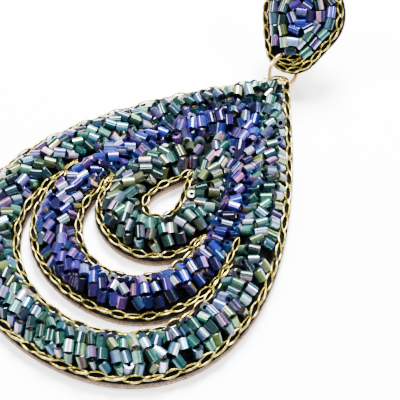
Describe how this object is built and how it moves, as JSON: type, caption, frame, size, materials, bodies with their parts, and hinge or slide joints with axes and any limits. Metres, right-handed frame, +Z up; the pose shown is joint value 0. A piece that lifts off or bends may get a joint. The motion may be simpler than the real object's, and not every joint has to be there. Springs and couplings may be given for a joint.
{
  "type": "chandelier earring",
  "caption": "Beaded teardrop earring with nested bead bands, chain edges and crescent openings, hung by a jump ring from a round beaded stud with a post",
  "frame": {"origin": "Under the middle of the whole earring's box, on the surface that it lies on", "axes": "+Z up from the surface, +Y from the drop's wide end towards the stud, +X across the drop"},
  "size_m": [0.057, 0.0946, 0.0175],
  "materials": {
    "suede": "napped suede",
    "felt": "matte felt",
    "teal_beads": "iridescent coated glass",
    "cobalt_beads": "iridescent coated glass",
    "chain_gold": "antique gold plated",
    "ring_gold": "pale gold plated"
  },
  "bodies": {
    "root": {"drop_backing": "suede", "drop_felt": "felt", "outer_beads": "teal_beads", "middle_beads": "cobalt_beads", "inner_beads": "teal_beads", "outer_edge_chain": "chain_gold", "outer_gap_chain": "chain_gold", "inner_gap_chain": "chain_gold", "centre_opening_chain": "chain_gold", "jump_ring": "ring_gold", "stud_backing": "suede", "stud_felt": "felt", "stud_beads": "cobalt_beads", "stud_edge_chain": "chain_gold", "ear_post": "ring_gold"}
  },
  "joints": []
}
